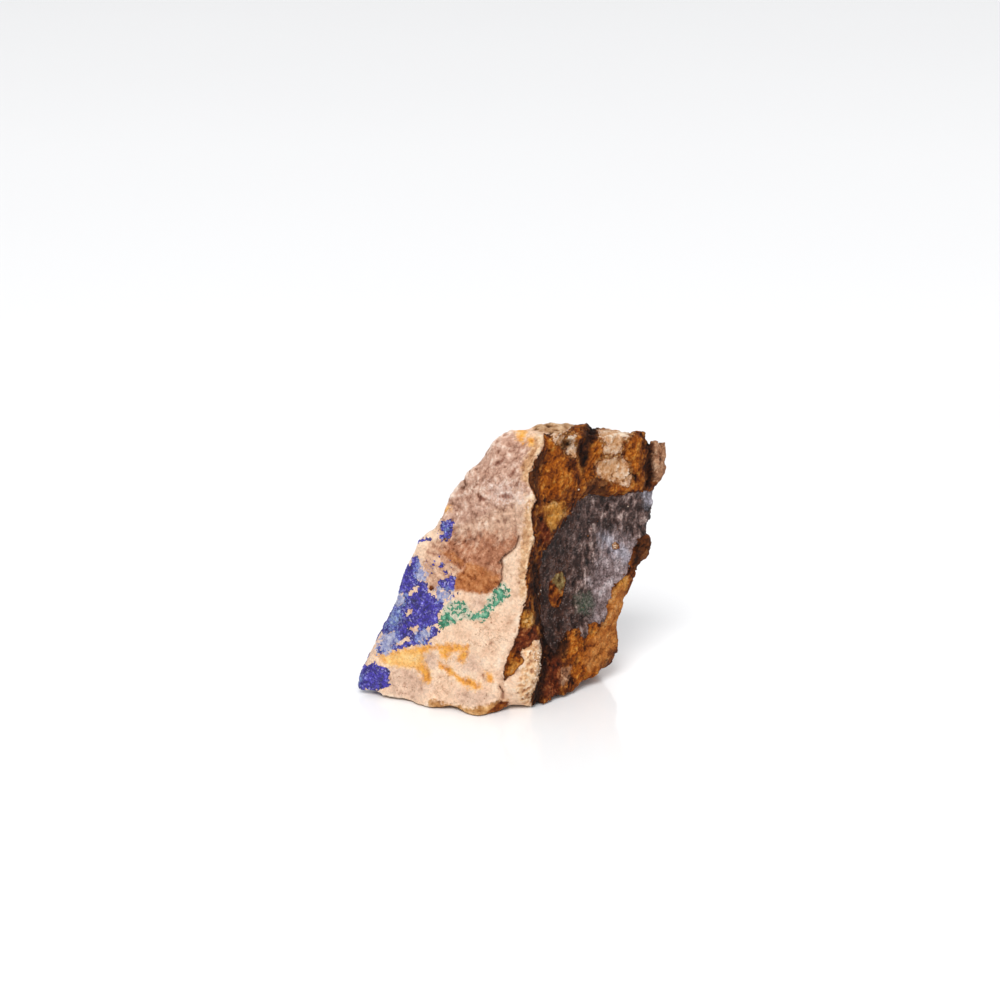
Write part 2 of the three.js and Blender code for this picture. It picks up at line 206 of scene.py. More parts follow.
STRAW_STAINS = [
    [(382, 658), (395, 653), (410, 652), (420, 654), (422, 662), (416, 668), (402, 666), (388, 664)],
    [(456, 706), (470, 710), (486, 708), (496, 704), (490, 713), (474, 716), (460, 711)],
]
YELLOW_STAINS = [
    [(377, 656), (392.7, 651.5), (412, 648.5), (430, 645.5), (452, 644), (468, 646), (469, 654),
     (463, 664), (457, 660), (460, 652), (452, 653), (446, 660), (440, 656), (440, 650), (430, 649),
     (424, 654), (423, 662), (430, 672), (432, 682), (424, 683), (420, 674), (414, 668), (400, 666),
     (388, 664), (380, 661)],
    [(438.5, 661), (450, 668), (460, 677), (474, 679), (481, 687), (476, 690), (462, 684),
     (448, 673), (439, 668)],
    [(486, 673), (492, 674), (493, 681), (487, 682)],
    [(517, 428), (525, 427), (527, 433), (523, 443), (517, 440)],
    [(527, 438), (534, 437), (534, 445), (528, 445)],
    [(446, 507), (450, 506), (451, 510), (446, 511)],
    [(521, 614), (527, 612), (532, 618), (531, 628), (524, 631), (520, 624)],
]
# The ochre rim under the lower lobe: its darker tones are partly painted shade under the lobe.
OCHRE_RIM_AND_UNDER_SHADE = [
    [(430, 699), (452, 705), (470, 708), (488, 705), (497, 700), (508, 700), (500, 716), (480, 725),
     (455, 720), (430, 708)],
]
VERDIGRIS_ZONES = [
    [(441, 618), (441, 628), (451, 625), (461, 619), (475, 620), (484, 621), (489, 615), (494, 608),
     (501.5, 603), (508, 597), (510, 590), (504, 583), (499, 586), (492, 592), (487, 597), (486, 607),
     (481, 615), (470, 611), (466, 603), (451, 600), (444, 606)],
]
AQUA_ZONES = [
    [(443, 525), (448, 525), (448, 531), (444, 532)],
    [(390, 612), (399, 608), (402, 619), (393, 630), (386, 628)],
    [(346, 676), (357, 668), (362, 678), (357, 690), (346, 690)],
    [(417, 558), (424, 566), (426, 578), (419, 583), (414, 577)],
    [(395, 594), (405, 592), (407, 604), (398, 609), (393, 603)],
    [(382, 634), (396, 628), (400, 640), (388, 654), (376, 654)],
    [(419, 630), (430, 627), (430, 638), (420, 645), (414, 640)],
    [(436, 592), (444, 590), (447, 600), (438, 602)],
    [(437, 588), (452, 590), (450, 600), (438, 598)],
]
CRACK_WIDTH = 0.17  # mm to each side
CRACKS = [
    [(518.5, 536), (517.5, 541), (515.5, 547), (511, 551), (506, 554.5), (501.5, 558.5), (500.6, 561),
     (502.6, 566.5), (501.2, 572), (501.8, 579), (499, 585.5), (496, 589.5)],
    [(462, 476), (465.5, 485), (463, 488)],
    [(499.6, 686), (503.2, 692), (502.8, 698)],
    [(553, 501), (562, 500), (570, 500.5), (576, 499)],
]
FAINT_WIDTH = 0.03  # mm to each side
FAINT_CRACKS = [
    [(506.6, 572.5), (504.6, 578)],
    [(516.4, 553), (515.6, 558)],
    [(487, 632), (491, 633), (496, 631.5), (500, 636), (504, 641)],
    [(480, 655), (485, 653.5), (490, 655), (494, 650), (499, 648)],
    [(456, 666.5), (462, 662.5), (469, 660.5)],
    [(479, 686), (486, 689), (492, 693), (497, 701)],
    [(474, 470), (480, 462), (484, 460), (490, 452)],
    [(488, 480), (492, 474), (494, 466), (499, 461)],
    [(505, 500), (511, 497), (517, 499), (522, 505)],
]


BREAKS = [
    # zones with chips of their own: their height, where they start and are full, and their size, mm
    (BLOCK_ZONES, 0.5, -0.6, 0.6, 1.2),
    (TAN_ZONES, 0.7, -1, 1, 2.4),
    (CREST_ZONES, 0.3, -0.6, 0.6, 1.4),
]
DIPS = [
    # zones that lie lower: their depth, and where it starts and is full, mm
    (YELLOW_STAINS[:2], 0.25, -0.3, 0.5),
    (RED_PITS, 0.3, -0.5, 0.4),
    (PAINTED_SHADOW_ZONES, 0.35, -0.3, 0.8),
    (PAINTED_SHADOW_ZONES[1:4], 0.7, -0.5, 0.9),
]


def behind(points):
    """How far points lie past the rim, on the sides that face away; below zero on the front."""
    return points[:, 1] - RIM_LEAN * points[:, 0] - RIM_PLACE


def edge_distance(seen, outline):
    """How far inside (above zero) or outside (below) an outline view points lie, in mm."""
    across, down = seen.T
    nearest = np.full(len(seen), np.inf)
    inside = np.zeros(len(seen), bool)
    for (ax, ay), (bx, by) in zip(outline, outline[1:] + outline[:1]):
        dx, dy = bx - ax, by - ay
        share = np.clip(((across - ax) * dx + (down - ay) * dy) / (dx * dx + dy * dy), 0, 1)
        nearest = np.minimum(nearest, np.hypot(across - ax - share * dx, down - ay - share * dy))
        if dy:
            inside ^= ((ay > down) != (by > down)) & (across < ax + (down - ay) * dx / dy)
    return np.where(inside, nearest, -nearest) * VIEW_POINT


def covered(points, outlines):
    """How far inside the nearest of a mineral's outlines points lie, in mm; none reach far behind."""
    seen = view_points(points)
    field = np.max([edge_distance(seen, outline) for outline in outlines], axis=0)
    return field - np.maximum(behind(points) - RIM_MARGIN, 0)


def spread(points, **minerals_and_painted_shade):
    """A field for each of several mineral zones and painted shades, by its name."""
    return {mineral: covered(points, outlines) for mineral, outlines in minerals_and_painted_shade.items()}


def from_path(points, path):
    """Distance from a line drawn on the front, in mm."""
    seen = view_points(points)
    return np.abs(edge_distance(seen, path + path[-2:0:-1])) + np.maximum(behind(points), 0)


def grain(points, size, octaves=3):
    """Soft lumps of about one size, in mm, from about -1 to 1."""
    at = (points / size + 17.3).tolist()
    return np.array([noise.fractal(p, 0.8, 2.0, octaves) for p in at])


def cells(points, size):
    """Rounded nodules of about one size, in mm: 1 in the middle of each, 0 at its border."""
    at = (points / size + 5.1).tolist()
    return np.array([1 - min(1, noise.voronoi(p)[0][0] * 1.6) for p in at])


def chips(points, size):
    """Small flat breaks of about one size, in mm, each tilted its own way, from about -0.5 to 0.5."""
    bend = [grain(points + shift, 0.8 * size, 2) for shift in (0, 31, 67)]
    heights = []
    for p in (points / size + 0.22 * np.column_stack(bend) + 3.7).tolist():
        middle = noise.voronoi(p)[1][0]
        tilt = noise.cell_vector(middle * 9) - Vector((0.5, 0.5, 0.5))
        heights.append((Vector(p) - middle).dot(tilt) * 1.8)
    return np.array(heights)


def rising(value, low, high):
    """0 below low, 1 above high, and smooth between."""
    share = np.clip((value - low) / (high - low), 0, 1)
    return share * share * (3 - 2 * share)


def facing(points, faces):
    """Unit normals at the points of a surface of four-sided faces."""
    a, b, c, d = (points[faces[:, i]] for i in range(4))
    out = np.cross(c - a, d - b)
    total = np.zeros_like(points)
    for corner in range(4):
        for axis in range(3):
            total[:, axis] += np.bincount(faces[:, corner], out[:, axis], len(points))
    return total / np.maximum(np.linalg.norm(total, axis=1, keepdims=True), 1e-12)


def eased(values, faces, passes):
    """Values at the points of a surface, drawn towards their neighbours' mean, pass after pass."""
    ends = np.concatenate([faces[:, [i, (i + 1) % 4]] for i in range(4)])
    count = np.maximum(np.bincount(ends[:, 0], minlength=len(values)), 1)
    for _ in range(passes):
        mean = np.column_stack(
            [np.bincount(ends[:, 0], column[ends[:, 1]], len(values)) / count for column in values.T]
        )
        values = 0.5 * values + 0.5 * mean
    return values


def rock_net():
    """The specimen's solid, rounded between its sharp edges, as an even net of four-sided faces."""
    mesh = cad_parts["stone"].data.copy()
    work = bmesh.new()
    work.from_mesh(mesh)
    bmesh.ops.remove_doubles(work, verts=work.verts, dist=1e-6)
    crease = work.edges.layers.float.new("crease_edge")
    for edge in work.edges:
        if edge.calc_face_angle(0) > SHARP_ANGLE:
            edge[crease] = SHARP_CREASE
    work.to_mesh(mesh)
    work.free()
    solid = bpy.data.objects.new("solid", mesh)
    bpy.context.scene.collection.objects.link(solid)
    solid.modifiers.new("rounding", "SUBSURF").levels = 2
    net = solid.modifiers.new("net", "REMESH")
    net.mode = "VOXEL"
    net.voxel_size = ROCK_PITCH / 1000
    shown = solid.evaluated_get(bpy.context.evaluated_depsgraph_get()).to_mesh()
    points = np.empty(len(shown.vertices) * 3)
    shown.vertices.foreach_get("co", points)
    corners = np.empty(len(shown.loops), int)
    shown.loops.foreach_get("vertex_index", corners)
    bpy.data.objects.remove(solid)
    return points.reshape(-1, 3) * 1000, corners.reshape(-1, 4)


def limonite_at(points):
    """Where limonite lies: on the right flank, in small spots on the left, and round the back."""
    rear = 5 * grain(points, 15, 3) + 0.5 * (points[:, 0] - REAR_LIMONITE)
    rear = np.minimum(rear, behind(points) - 1)
    return np.maximum(covered(points, [FLANK, *LIMONITE_SPOTS]), rear)


def brown_at(points):
    """The brown stain: sharp along the crack and its lower lip, and faded out upwards in patches."""
    faded = (view_points(points)[:, 1] - BROWN_TOP) * VIEW_POINT / BROWN_FADE + 0.35 * grain(points, 1.6, 3)
    field = np.minimum(covered(points, [BROWN_STAIN]), covered(points, [BROWN_CORE]) / 3)
    return np.minimum(field, faded)


def relief(points):
    """How far the broken surface stands out from the plain form. Heights and lump sizes are in mm."""
    flank = rising(limonite_at(points), -0.1, 0.7)
    back = rising(behind(points), 0, BACK_REACH)
    upper = rising(covered(points, MAUVE_ZONES[:1]), -3, 1)
    fine = grain(points, 1.1, 3)
    pits = rising(grain(points + 50, 1.7, 2), 0.35, 0.7)
    along = points @ STREAK_FRAME * [0.45, 1, 1]
    streaks = 0.6 * grain(along, 1.4, 3) + 0.7 * chips(along, 2.6) + 0.9 * chips(points, 1.5)
    face = 0.06 * fine + 0.12 * grain(points, 4, 2) - 0.2 * pits + 0.24 * upper * streaks
    for zones, stand, start, full, size in BREAKS:
        face += stand * rising(covered(points, zones), start, full) * chips(points, size)
    rind = 0.7 * chips(along, 3.4) + 0.3 * chips(points, 2.2) + 0.25 * grain(points, 6, 2)
    broken = 1.3 * chips(points, 6) + 0.6 * chips(points, 2.4) + 0.12 * fine
    height = (1 - flank) * ((1 - back) * face + back * broken) + flank * rind
    height -= 0.3 * rising(covered(points, [BROWN_STAIN]), -0.2, 0.6) * (1 - back)
    for zones, depth, start, full in DIPS:
        height -= depth * rising(covered(points, zones), start, full)
    height -= PLATE_HOLLOW * rising(covered(points, PLATE), -0.4, 1.0) * rising(-behind(points), 1, 6)
    height += SHOULDER_HEIGHT * np.exp(-((from_path(points, SHOULDER) / SHOULDER_WIDTH) ** 2))
    height += 0.5 * np.exp(-(covered(points, [FLANK]) ** 2)) * chips(points, 1.7) * (1 - back)
    for crack in CRACKS:
        height -= CRACK_DEPTH * np.exp(-((from_path(points, crack) / CRACK_SLOPE) ** 2))
    return height


rock_points, rock_faces = rock_net()
rock_points = eased(rock_points, rock_faces, WEATHERING)
rock_points += facing(rock_points, rock_faces) * relief(rock_points)[:, None]
rock_points[:, 2] = np.where(rock_points[:, 2] < FOOT_HEIGHT, 0, rock_points[:, 2])
rock_normals = facing(rock_points, rock_faces)


def mark(piece, fields):
    """Gives each point of a piece its values of some fields, mostly distances in mm."""
    for field, values in fields.items():
        piece.data.attributes.new(field, "FLOAT", "POINT").data.foreach_set("value", values.astype("f4"))


def skin(name, points, faces, fields):
    """A piece of the specimen as a mesh object, from points in mm, with its fields."""
    mesh = bpy.data.meshes.new(name)
    mesh.from_pydata((points / 1000).tolist(), [], faces)
    mesh.shade_smooth()
    piece = bpy.data.objects.new(name, mesh)
    bpy.context.scene.collection.objects.link(piece)
    mark(piece, fields)
    return piece


# How far each point lies below its surroundings: the materials paint shade into the hollows from it.
sunken = eased(rock_points, rock_faces, HOLLOW_REACH) - rock_points
hollow = np.einsum("ij,ij->i", sunken, rock_normals)
rear = behind(rock_points)
rock = skin(
    "carbonate_rock",
    rock_points,
    rock_faces.tolist(),
    {
        "hollow": hollow,
        "limonite": limonite_at(rock_points),
        "crack": np.maximum(
            CRACK_WIDTH - np.min([from_path(rock_points, c) for c in CRACKS], axis=0),
            FAINT_WIDTH - np.min([from_path(rock_points, c) for c in FAINT_CRACKS], axis=0),
        ),
        "brown": brown_at(rock_points),
        "mauve": np.maximum(
            covered(rock_points, MAUVE_ZONES),
            np.minimum(7 * grain(rock_points + 60, 12, 2), rear),
        ),
        "yellow": np.maximum(
            covered(rock_points, YELLOW_STAINS),
            np.minimum(6 * grain(rock_points + 20, 11, 2) - 3, rear - 1),
        ),
        **spread(
            rock_points, straw=STRAW_STAINS, tan=TAN_ZONES, crest=CREST_ZONES, bleached=BLEACHED_ZONES,
            tawny=TAWNY_ZONES, olive=OLIVE_SPOTS, blush=BLUSH_ZONES, faded=FADED_ZONES,
            block=BLOCK_ZONES, pit=RED_PITS, speckled=SPECKLED_ZONES, rim=OCHRE_RIM_AND_UNDER_SHADE,
            cream=CREAM_PATCHES, black=PAINTED_SHADOW_ZONES, rust=RUST_STAIN, verdigris=VERDIGRIS_ZONES,
            aqua=AQUA_ZONES,
        ),
    },
)


def paint(colour):
    """An sRGB hex colour as the linear one that a shader takes."""
    parts = [int(colour[i : i + 2], 16) / 255 for i in (1, 3, 5)]
    return [p / 12.92 if p <= 0.04045 else ((p + 0.055) / 1.055) ** 2.4 for p in parts] + [1]


def lay(tree, kind, inputs=None, **settings):
    """Adds a node with its settings, gives its inputs a value or a link, and returns its outputs."""
    node = tree.nodes.new("ShaderNode" + kind)
    for name, value in settings.items():
        setattr(node, name, value)
    for name, value in (inputs or {}).items():
        if isinstance(value, bpy.types.NodeSocket):
            tree.links.new(value, node.inputs[name])
        else:
            node.inputs[name].default_value = value
    return node.outputs


def finish(name):
    """A new material, its empty node tree, and the place on the surface in mm."""
    material = bpy.data.materials.new(name)
    material.use_nodes = True
    tree = material.node_tree
    tree.nodes.clear()
    place = lay(tree, "TexCoord")["Object"]
    place = lay(tree, "VectorMath", {0: place, "Scale": 1000.0}, operation="SCALE")[0]
    return material, tree, place


def mottle(tree, place, size, tones, contrast=0.2):
    """Mineral colour: tones from the darkest to the lightest, in lumps from one size in mm down, painted
    darker in hollows and lighter on knobs as painted shade and light.
    """
    lumps = {"Vector": place, "Scale": 1 / size, "Detail": 7.0, "Roughness": 0.72}
    value = lay(tree, "TexNoise", lumps)["Fac"]
    # Painted shade and light: sunk places take darker tones, raised ones lighter.
    hollow = lay(tree, "Attribute", attribute_name="hollow")["Fac"]
    value = lay(tree, "Math", {0: hollow, 1: -PAINTED_HOLLOW_SHADE, 2: value}, operation="MULTIPLY_ADD")[0]
    mixed = lay(tree, "ValToRGB", {"Fac": value})
    stops = mixed[0].node.color_ramp.elements
    for i, tone in enumerate(tones):
        at = 0.5 + contrast * (2 * i / (len(tones) - 1) - 1)
        stop = stops[i] if i < 2 else stops.new(at)
        stop.position, stop.color = at, paint(tone)
    return mixed[0]


def stained(tree, place, colour, field, edge, ragged, size, strength, tones):
    """A colour with a mineral's tones over it, or painted shade and reflection in some fields: the
    distance field in mm, torn by noise, sets where it shows, and it thins out over its edge, in mm."""
    lumps = {"Vector": place, "Scale": 1 / size, "Detail": 6.0, "Roughness": 0.75}
    torn = lay(tree, "TexNoise", lumps)["Fac"]
    distance = lay(tree, "Attribute", attribute_name=field)["Fac"]
    distance = lay(
        tree, "Math", {0: torn, 1: 4 * ragged, 2: distance}, operation="MULTIPLY_ADD"
    )[0]
    shown = {"Value": distance, "From Min": 2 * ragged - edge / 2, "From Max": 2 * ragged + edge / 2}
    shown = lay(tree, "MapRange", {**shown, "To Max": strength}, interpolation_type="SMOOTHSTEP")[0]
    tone = mottle(tree, place, size * 1.5, tones)
    return lay(tree, "MixRGB", {"Fac": shown, "Color1": colour, "Color2": tone})[0], shown


def grained(tree, place, colour, size, amount):
    """A colour broken into crystal grains of one size in mm, each a little lighter or darker."""
    grains = lay(tree, "TexVoronoi", {"Vector": place, "Scale": 1 / size})
    shade = lay(tree, "SeparateColor", {"Color": grains["Color"]})[0]
    light = {"Value": shade, "To Min": 1 - amount, "To Max": 1 + amount}
    light = lay(tree, "MapRange", light)[0]
    return lay(tree, "VectorMath", {0: colour, "Scale": light}, operation="SCALE")[0], grains


def patches(tree, place, size, low, high, top=1.0, **lumps):
    """Where soft patches of one size in mm lie: 0 where the noise is under low, top over high."""
    value = lay(tree, "TexNoise", {"Vector": place, "Scale": 1 / size, **lumps})["Fac"]
    return lay(tree, "MapRange", {"Value": value, "From Min": low, "From Max": high, "To Max": top})[0]


def seams(tree, place, spacing, width):
    """Fine lines between cells of one spacing in mm, as wide as a share of it: 1 in their middle."""
    edge = {"Vector": place, "Scale": 1 / spacing}
    edge = lay(tree, "TexVoronoi", edge, feature="DISTANCE_TO_EDGE")["Distance"]
    return lay(tree, "MapRange", {"Value": edge, "From Min": width, "From Max": 0.0})[0]


def leant(tree, place, stretch):
    """The place on the surface, leant and stretched as the streaks in the rock are."""
    streaks = {"Vector": place, "Rotation": (0, STREAK_LEAN, 0), "Scale": (1, 1, stretch)}
    return lay(tree, "Mapping", streaks, vector_type="TEXTURE")["Vector"]


def darkened(tree, colour, share, tint):
    """A colour that is multiplied by a tint where a share says so."""
    darker = lay(tree, "VectorMath", {0: colour, 1: tint}, operation="MULTIPLY")[0]
    return lay(tree, "MixRGB", {"Fac": share, "Color1": colour, "Color2": darker})[0]


def rough(tree, place, size, detail, strength, depth):
    """A surface roughened by lumps from one size in mm down, to a depth in metres."""
    lumps = {"Vector": place, "Scale": 1 / size, "Detail": detail, "Roughness": 0.8}
    lumps = lay(tree, "TexNoise", lumps)["Fac"]
    return lay(tree, "Bump", {"Height": lumps, "Strength": strength, "Distance": depth})["Normal"]


def dress(piece, material, colour, roughness, ior, specular=0.5, normal=None):
    """Ends a material with its surface, and puts it on a piece."""
    tree = material.node_tree
    look = {"Base Color": colour, "Roughness": roughness, "IOR": ior, "Specular IOR Level": specular}
    if normal is not None:
        look["Normal"] = normal
    surface = lay(tree, "BsdfPrincipled", look)["BSDF"]
    lay(tree, "OutputMaterial", {"Surface": surface})
    piece.data.materials.append(material)


# Dolomitic limestone, broken, with its iron stains: a matt, sugary surface, cream to mauve, with
# tiny brown pits. The limonite over it is rough, dark in its hollows and orange on its knobs, partly
# as painted shade and painted light.
GRAIN = 0.42  # mm, coarser than the real grain, which is too fine to show
HAIRLINE_SPACING = 3.2  # mm
CLEFT_SPACING = 1.7  # mm, between the short clefts of the mauve part
# Painted shade: hollows are painted darker and knobs lighter by this share of the tones per mm.
PAINTED_HOLLOW_SHADE = 0.8  # taken off the place in the tones for each mm that a surface is sunk
STAINS_AND_PAINTED_SHADE = [
    # field, edge, raggedness and lump size in mm, strength, tones
    ("blush", 2.0, 1.8, 1.6, 0.75, ["#A07A66", "#C6A28C", "#DCBAA2", "#EACFB8"]),
    ("mauve", 1.8, 1.6, 1.3, 0.9, ["#6E4636", "#AC806C", "#CEA692", "#EBD2C0"]),
    ("faded", 2.6, 1.8, 1.4, 0.9, ["#865E4C", "#BE957C", "#DCB69C", "#F0D6C0"]),
    ("crest", 1.2, 1.0, 1.2, 0.9, ["#7A4A2C", "#B8865C", "#D2A478", "#E8C8A2"]),
    ("bleached", 0.8, 3.4, 0.6, 0.75, ["#A87E6C", "#D8B8A8", "#F6E8DE"]),
    ("pit", 0.9, 0.7, 0.7, 0.75, ["#5E3028", "#86503E", "#A87260"]),
    ("tawny", 1.2, 1.4, 1.2, 0.9, ["#7A4C38", "#B88A70", "#D8B094", "#EACAAA"]),
    ("block", 1.5, 1.4, 1.0, 0.85, ["#7E4A26", "#C88E60", "#E4B888", "#F4D6B4"]),
    ("tan", 1.0, 0.8, 1.6, 0.95, ["#50321C", "#946A44", "#B28A64", "#CEAC88"]),
    ("yellow", 1.6, 1.1, 1.3, 0.95, ["#B8742E", "#E2963A", "#ECAC4C", "#F0C07C"]),
    ("straw", 1.6, 0.8, 1.6, 0.9, ["#DFA45C", "#EDBB74", "#F2C888", "#F4D6A6"]),
    # ochre rim under the lobe, darkened partly as painted shade
    ("rim", 1.0, 1.2, 1.4, 0.95, ["#4E2A12", "#8E5A2C", "#B8824A", "#D6A874"]),
    ("brown", 1.0, 0.6, 1.3, 0.95, ["#542616", "#945A3E", "#BA8060", "#DEB699"]),
    ("rust", 1.4, 1.0, 1.0, 0.9, ["#602C12", "#A05C30", "#C07E4C", "#DCAC7C"]),
    ("verdigris", 0.6, 0.7, 0.8, 0.9, ["#8A9E88", "#B4B8A0", "#D0CAB4", "#E6DAC6"]),
    ("aqua", 0.5, 2.2, 0.8, 0.85, ["#3E549C", "#6C80B8", "#9CA8CA", "#CACEDC"]),
    ("limonite", 0.35, 0.5, 0.9, 1.0, ["#1C0802", "#50200A", "#7E3E10", "#AC6826"]),
    ("cream", 1.4, 1.6, 1.1, 0.95, ["#8A5226", "#C08E60", "#D4B090", "#E8D4BC"]),
    ("olive", 0.6, 0.7, 0.7, 0.95, ["#32220E", "#664E2A", "#887448", "#B09C70"]),
    # painted shadow, where shade falls
    ("black", 1.6, 0.8, 1.2, 0.95, ["#020100", "#100603", "#2A130A", "#522A14"]),
    ("crack", 0.2, 0.06, 1.0, 0.8, ["#2E150C", "#4E2A1A", "#6A4028"]),
]
STREAK_LEAN = math.radians(33)
limestone, tree, place = finish("dolomitic_limestone_broken")
streaks = leant(tree, place, 1.5)
colour = mottle(tree, place, 3.6, ["#A87C62", "#DAB294", "#E8C4A6", "#EED0B4", "#F2DEC8"], 0.25)
shares = {}
for field, *how in STAINS_AND_PAINTED_SHADE:
    where = streaks if field == "brown" else place  # the brown stain runs in streaks
    colour, shares[field] = stained(tree, where, colour, field, *how)
freckles = patches(tree, place, 0.7, 0.57, 0.66, Detail=4.0, Roughness=0.7)
patchy = patches(tree, place, 3, 0.44, 0.6, 0.55, Detail=3.0)
speckled = lay(tree, "Attribute", attribute_name="speckled")["Fac"]
speckled = lay(tree, "MapRange", {"Value": speckled, "From Min": -0.8, "From Max": 0.8})[0]
patchy = lay(tree, "Math", {0: speckled, 1: patchy}, operation="MAXIMUM")[0]
freckles = lay(tree, "Math", {0: freckles, 1: patchy}, operation="MULTIPLY")[0]
colour = darkened(tree, colour, freckles, (0.5, 0.36, 0.3))
bent = lay(tree, "TexNoise", {"Vector": place, "Scale": 1 / 2, "Detail": 3.0})["Color"]
bent = lay(tree, "VectorMath", {0: bent, 1: (2.2, 2.2, 2.2), 2: place}, operation="MULTIPLY_ADD")[0]
hairlines = seams(tree, bent, HAIRLINE_SPACING, 0.025)
rare = patches(tree, place, 5, 0.5, 0.64, 0.6, Detail=2.0)
hairlines = lay(tree, "Math", {0: hairlines, 1: rare}, operation="MULTIPLY")[0]
clefts = seams(tree, leant(tree, bent, 2.6), CLEFT_SPACING, 0.07)
clefts = lay(tree, "Math", {0: clefts, 1: shares["mauve"]}, operation="MULTIPLY")[0]
short = patches(tree, place, 1.4, 0.5, 0.6, 0.8, Detail=2.0)
clefts = lay(tree, "Math", {0: clefts, 1: short}, operation="MULTIPLY")[0]
hairlines = lay(tree, "Math", {0: hairlines, 1: clefts}, operation="MAXIMUM")[0]
colour = darkened(tree, colour, hairlines, (0.42, 0.3, 0.24))
colour, grains = grained(tree, place, colour, GRAIN, 0.12)
gloss = lay(tree, "MapRange", {"Value": shares["limonite"], "To Min": 0.9, "To Max": 0.62})[0]
normal = rough(tree, place, 0.9, 6.0, 0.9, 0.0004)
normal = {"Height": grains["Distance"], "Normal": normal, "Strength": 0.35, "Distance": 0.0001}
normal = lay(tree, "Bump", normal)["Normal"]
dress(rock, limestone, colour, roughness=gloss, ior=1.5, specular=0.12, normal=normal)
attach(rock, "root")
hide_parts("stone")

# ---- Limonite rind --------------------------------------------------------------------------
# Earthy limonite, iron rust that crept over the broken right flank: up to a millimetre deep, lumpy
# and cracked. It runs from ochre on its knobs to dark red and black in the grooves, the black being
# partly painted shadow and the ochre knobs partly painted light.
GOLD_OCHRE = [
    [(546, 506), (553, 502), (562, 503), (566, 507), (563, 516), (557, 528), (551, 530), (547, 520)],
    [(520, 617), (527, 610), (533, 614), (533, 624), (528, 630), (521, 631)],
    [(620, 580), (626, 578), (626, 588), (620, 592), (614, 592)],
    [(508, 668), (512, 660), (515, 664), (512, 672)],
]
BRIGHT_LIMONITE = [
    [(545, 440), (552, 436), (560, 437), (560, 452), (566, 462), (572, 470), (577, 486), (560, 500),
     (545, 498), (538, 486), (541, 468), (548, 455)],
    [(588, 441), (601, 440), (602, 452), (596, 462), (588, 480), (582, 486), (585, 466)],
    [(626, 433), (641, 436), (643, 455), (640, 476), (630, 470), (625, 452)],
    [(607, 483), (622, 480), (637, 485), (640, 489), (622, 492.5), (609, 492)],
    [(575, 427), (588, 426), (589, 436), (580, 440), (574, 446), (571, 438)],
    [(617, 585), (622, 578), (630, 579), (627, 596), (622, 612), (612, 640), (608, 660), (600, 668),
     (588, 680), (574, 686), (573, 668), (584, 655), (586, 641), (590, 634), (589, 627), (603, 627),
     (609, 616), (608, 607), (613, 598)],
    [(566, 635), (577, 632), (583, 640), (584, 655), (572, 664), (562, 655), (561, 643)],
    [(549, 582), (555, 588), (561, 602), (558, 609), (551, 607), (548, 595)],
    [(505, 664), (511, 653), (517, 650), (523, 655), (520, 664), (512, 674), (506, 680)],
]
UMBER_ZONES = [
    [(653, 440), (672, 438), (672, 462), (664, 482), (653, 481), (652, 460)],
    [(562, 668), (571, 666), (570, 674), (564, 686), (561, 683)],
]
DARK_RED = [
    [(520, 628), (534, 626), (541, 640), (532, 646), (522, 650), (514, 652), (517, 638)],
    [(541, 521), (547, 524), (552, 534), (552, 543), (545, 547), (540, 540)],
    [(543, 600), (562, 655), (560, 690), (545, 700), (540, 690), (543, 660)],
]
# Painted shade under the plate's upper lip, along the crest's step and at the foot of the hollow; the patch
# on the bump is its own dark brown.
PAINTED_SHADE_ZONES = [
    [(588, 480), (598, 477), (607, 482), (609, 493), (596, 496), (584, 495)],
    [(556, 628), (568, 632), (570, 646), (566, 658), (556, 656)],
    [(582, 424), (600, 424), (598, 436), (590, 440), (580, 434)],
    [(634, 538), (652, 538), (652, 572), (638, 576), (632, 566)],
    [(542, 448), (545, 453), (542, 464), (537, 478), (538, 494), (532, 494), (526, 484), (534, 459)],
]
AMBER_ZONES = [
    [(612, 592), (624, 584), (626, 606), (618, 640), (606, 662), (590, 672), (584, 662), (592, 640),
     (604, 624)],
]
SMOOTH_LIMONITE = [
    [(617, 585), (630, 579), (640, 600), (640, 640), (620, 668), (600, 676), (584, 686), (580, 660),
     (590, 634), (603, 627), (609, 612)],
]
CRUST_DEPTH = 0.5  # mm that a layer reaches down into the rock
CRUST_SKIRT = 0.3  # mm that a layer runs on past its edge, sunk in the rock
PATCH_BORDER = 0.5  # mm of thin, pale rind to each side of a cream patch's edge


def rind_at(points):
    """Where the rind stands on the flank: round the cream patches, and just under the plate's edge."""
    field = np.minimum(covered(points, [FLANK]), 0.7 - covered(points, PLATE))
    field = np.minimum(field, 1 - behind(points)) + 0.5 * grain(points, 1.1, 3)
    broken = 0.5 * grain(points, 0.8, 3) + 0.5 * grain(points * [1, 1, 2], 3, 2)
    islands = 1.6 * grain(points * [1, 1, 2.4] + 23, 1.6, 3) - 1.0
    return np.minimum(field, np.maximum(broken - covered(points, CREAM_PATCHES), islands) / 2.5)


def rind_height(points, field):
    """Small angular lumps with grains on them."""
    along = points @ STREAK_FRAME * [0.6, 1, 1]
    lumps = 0.26 * chips(along, 1.9) + 0.14 * grain(points, 0.6, 3) + 0.09 * cells(points, 0.9)
    lumps *= 1 - 0.5 * rising(covered(points, SMOOTH_LIMONITE), -1, 1)
    return -0.16 + rising(field, -0.15, 0.35) * (0.34 + lumps)


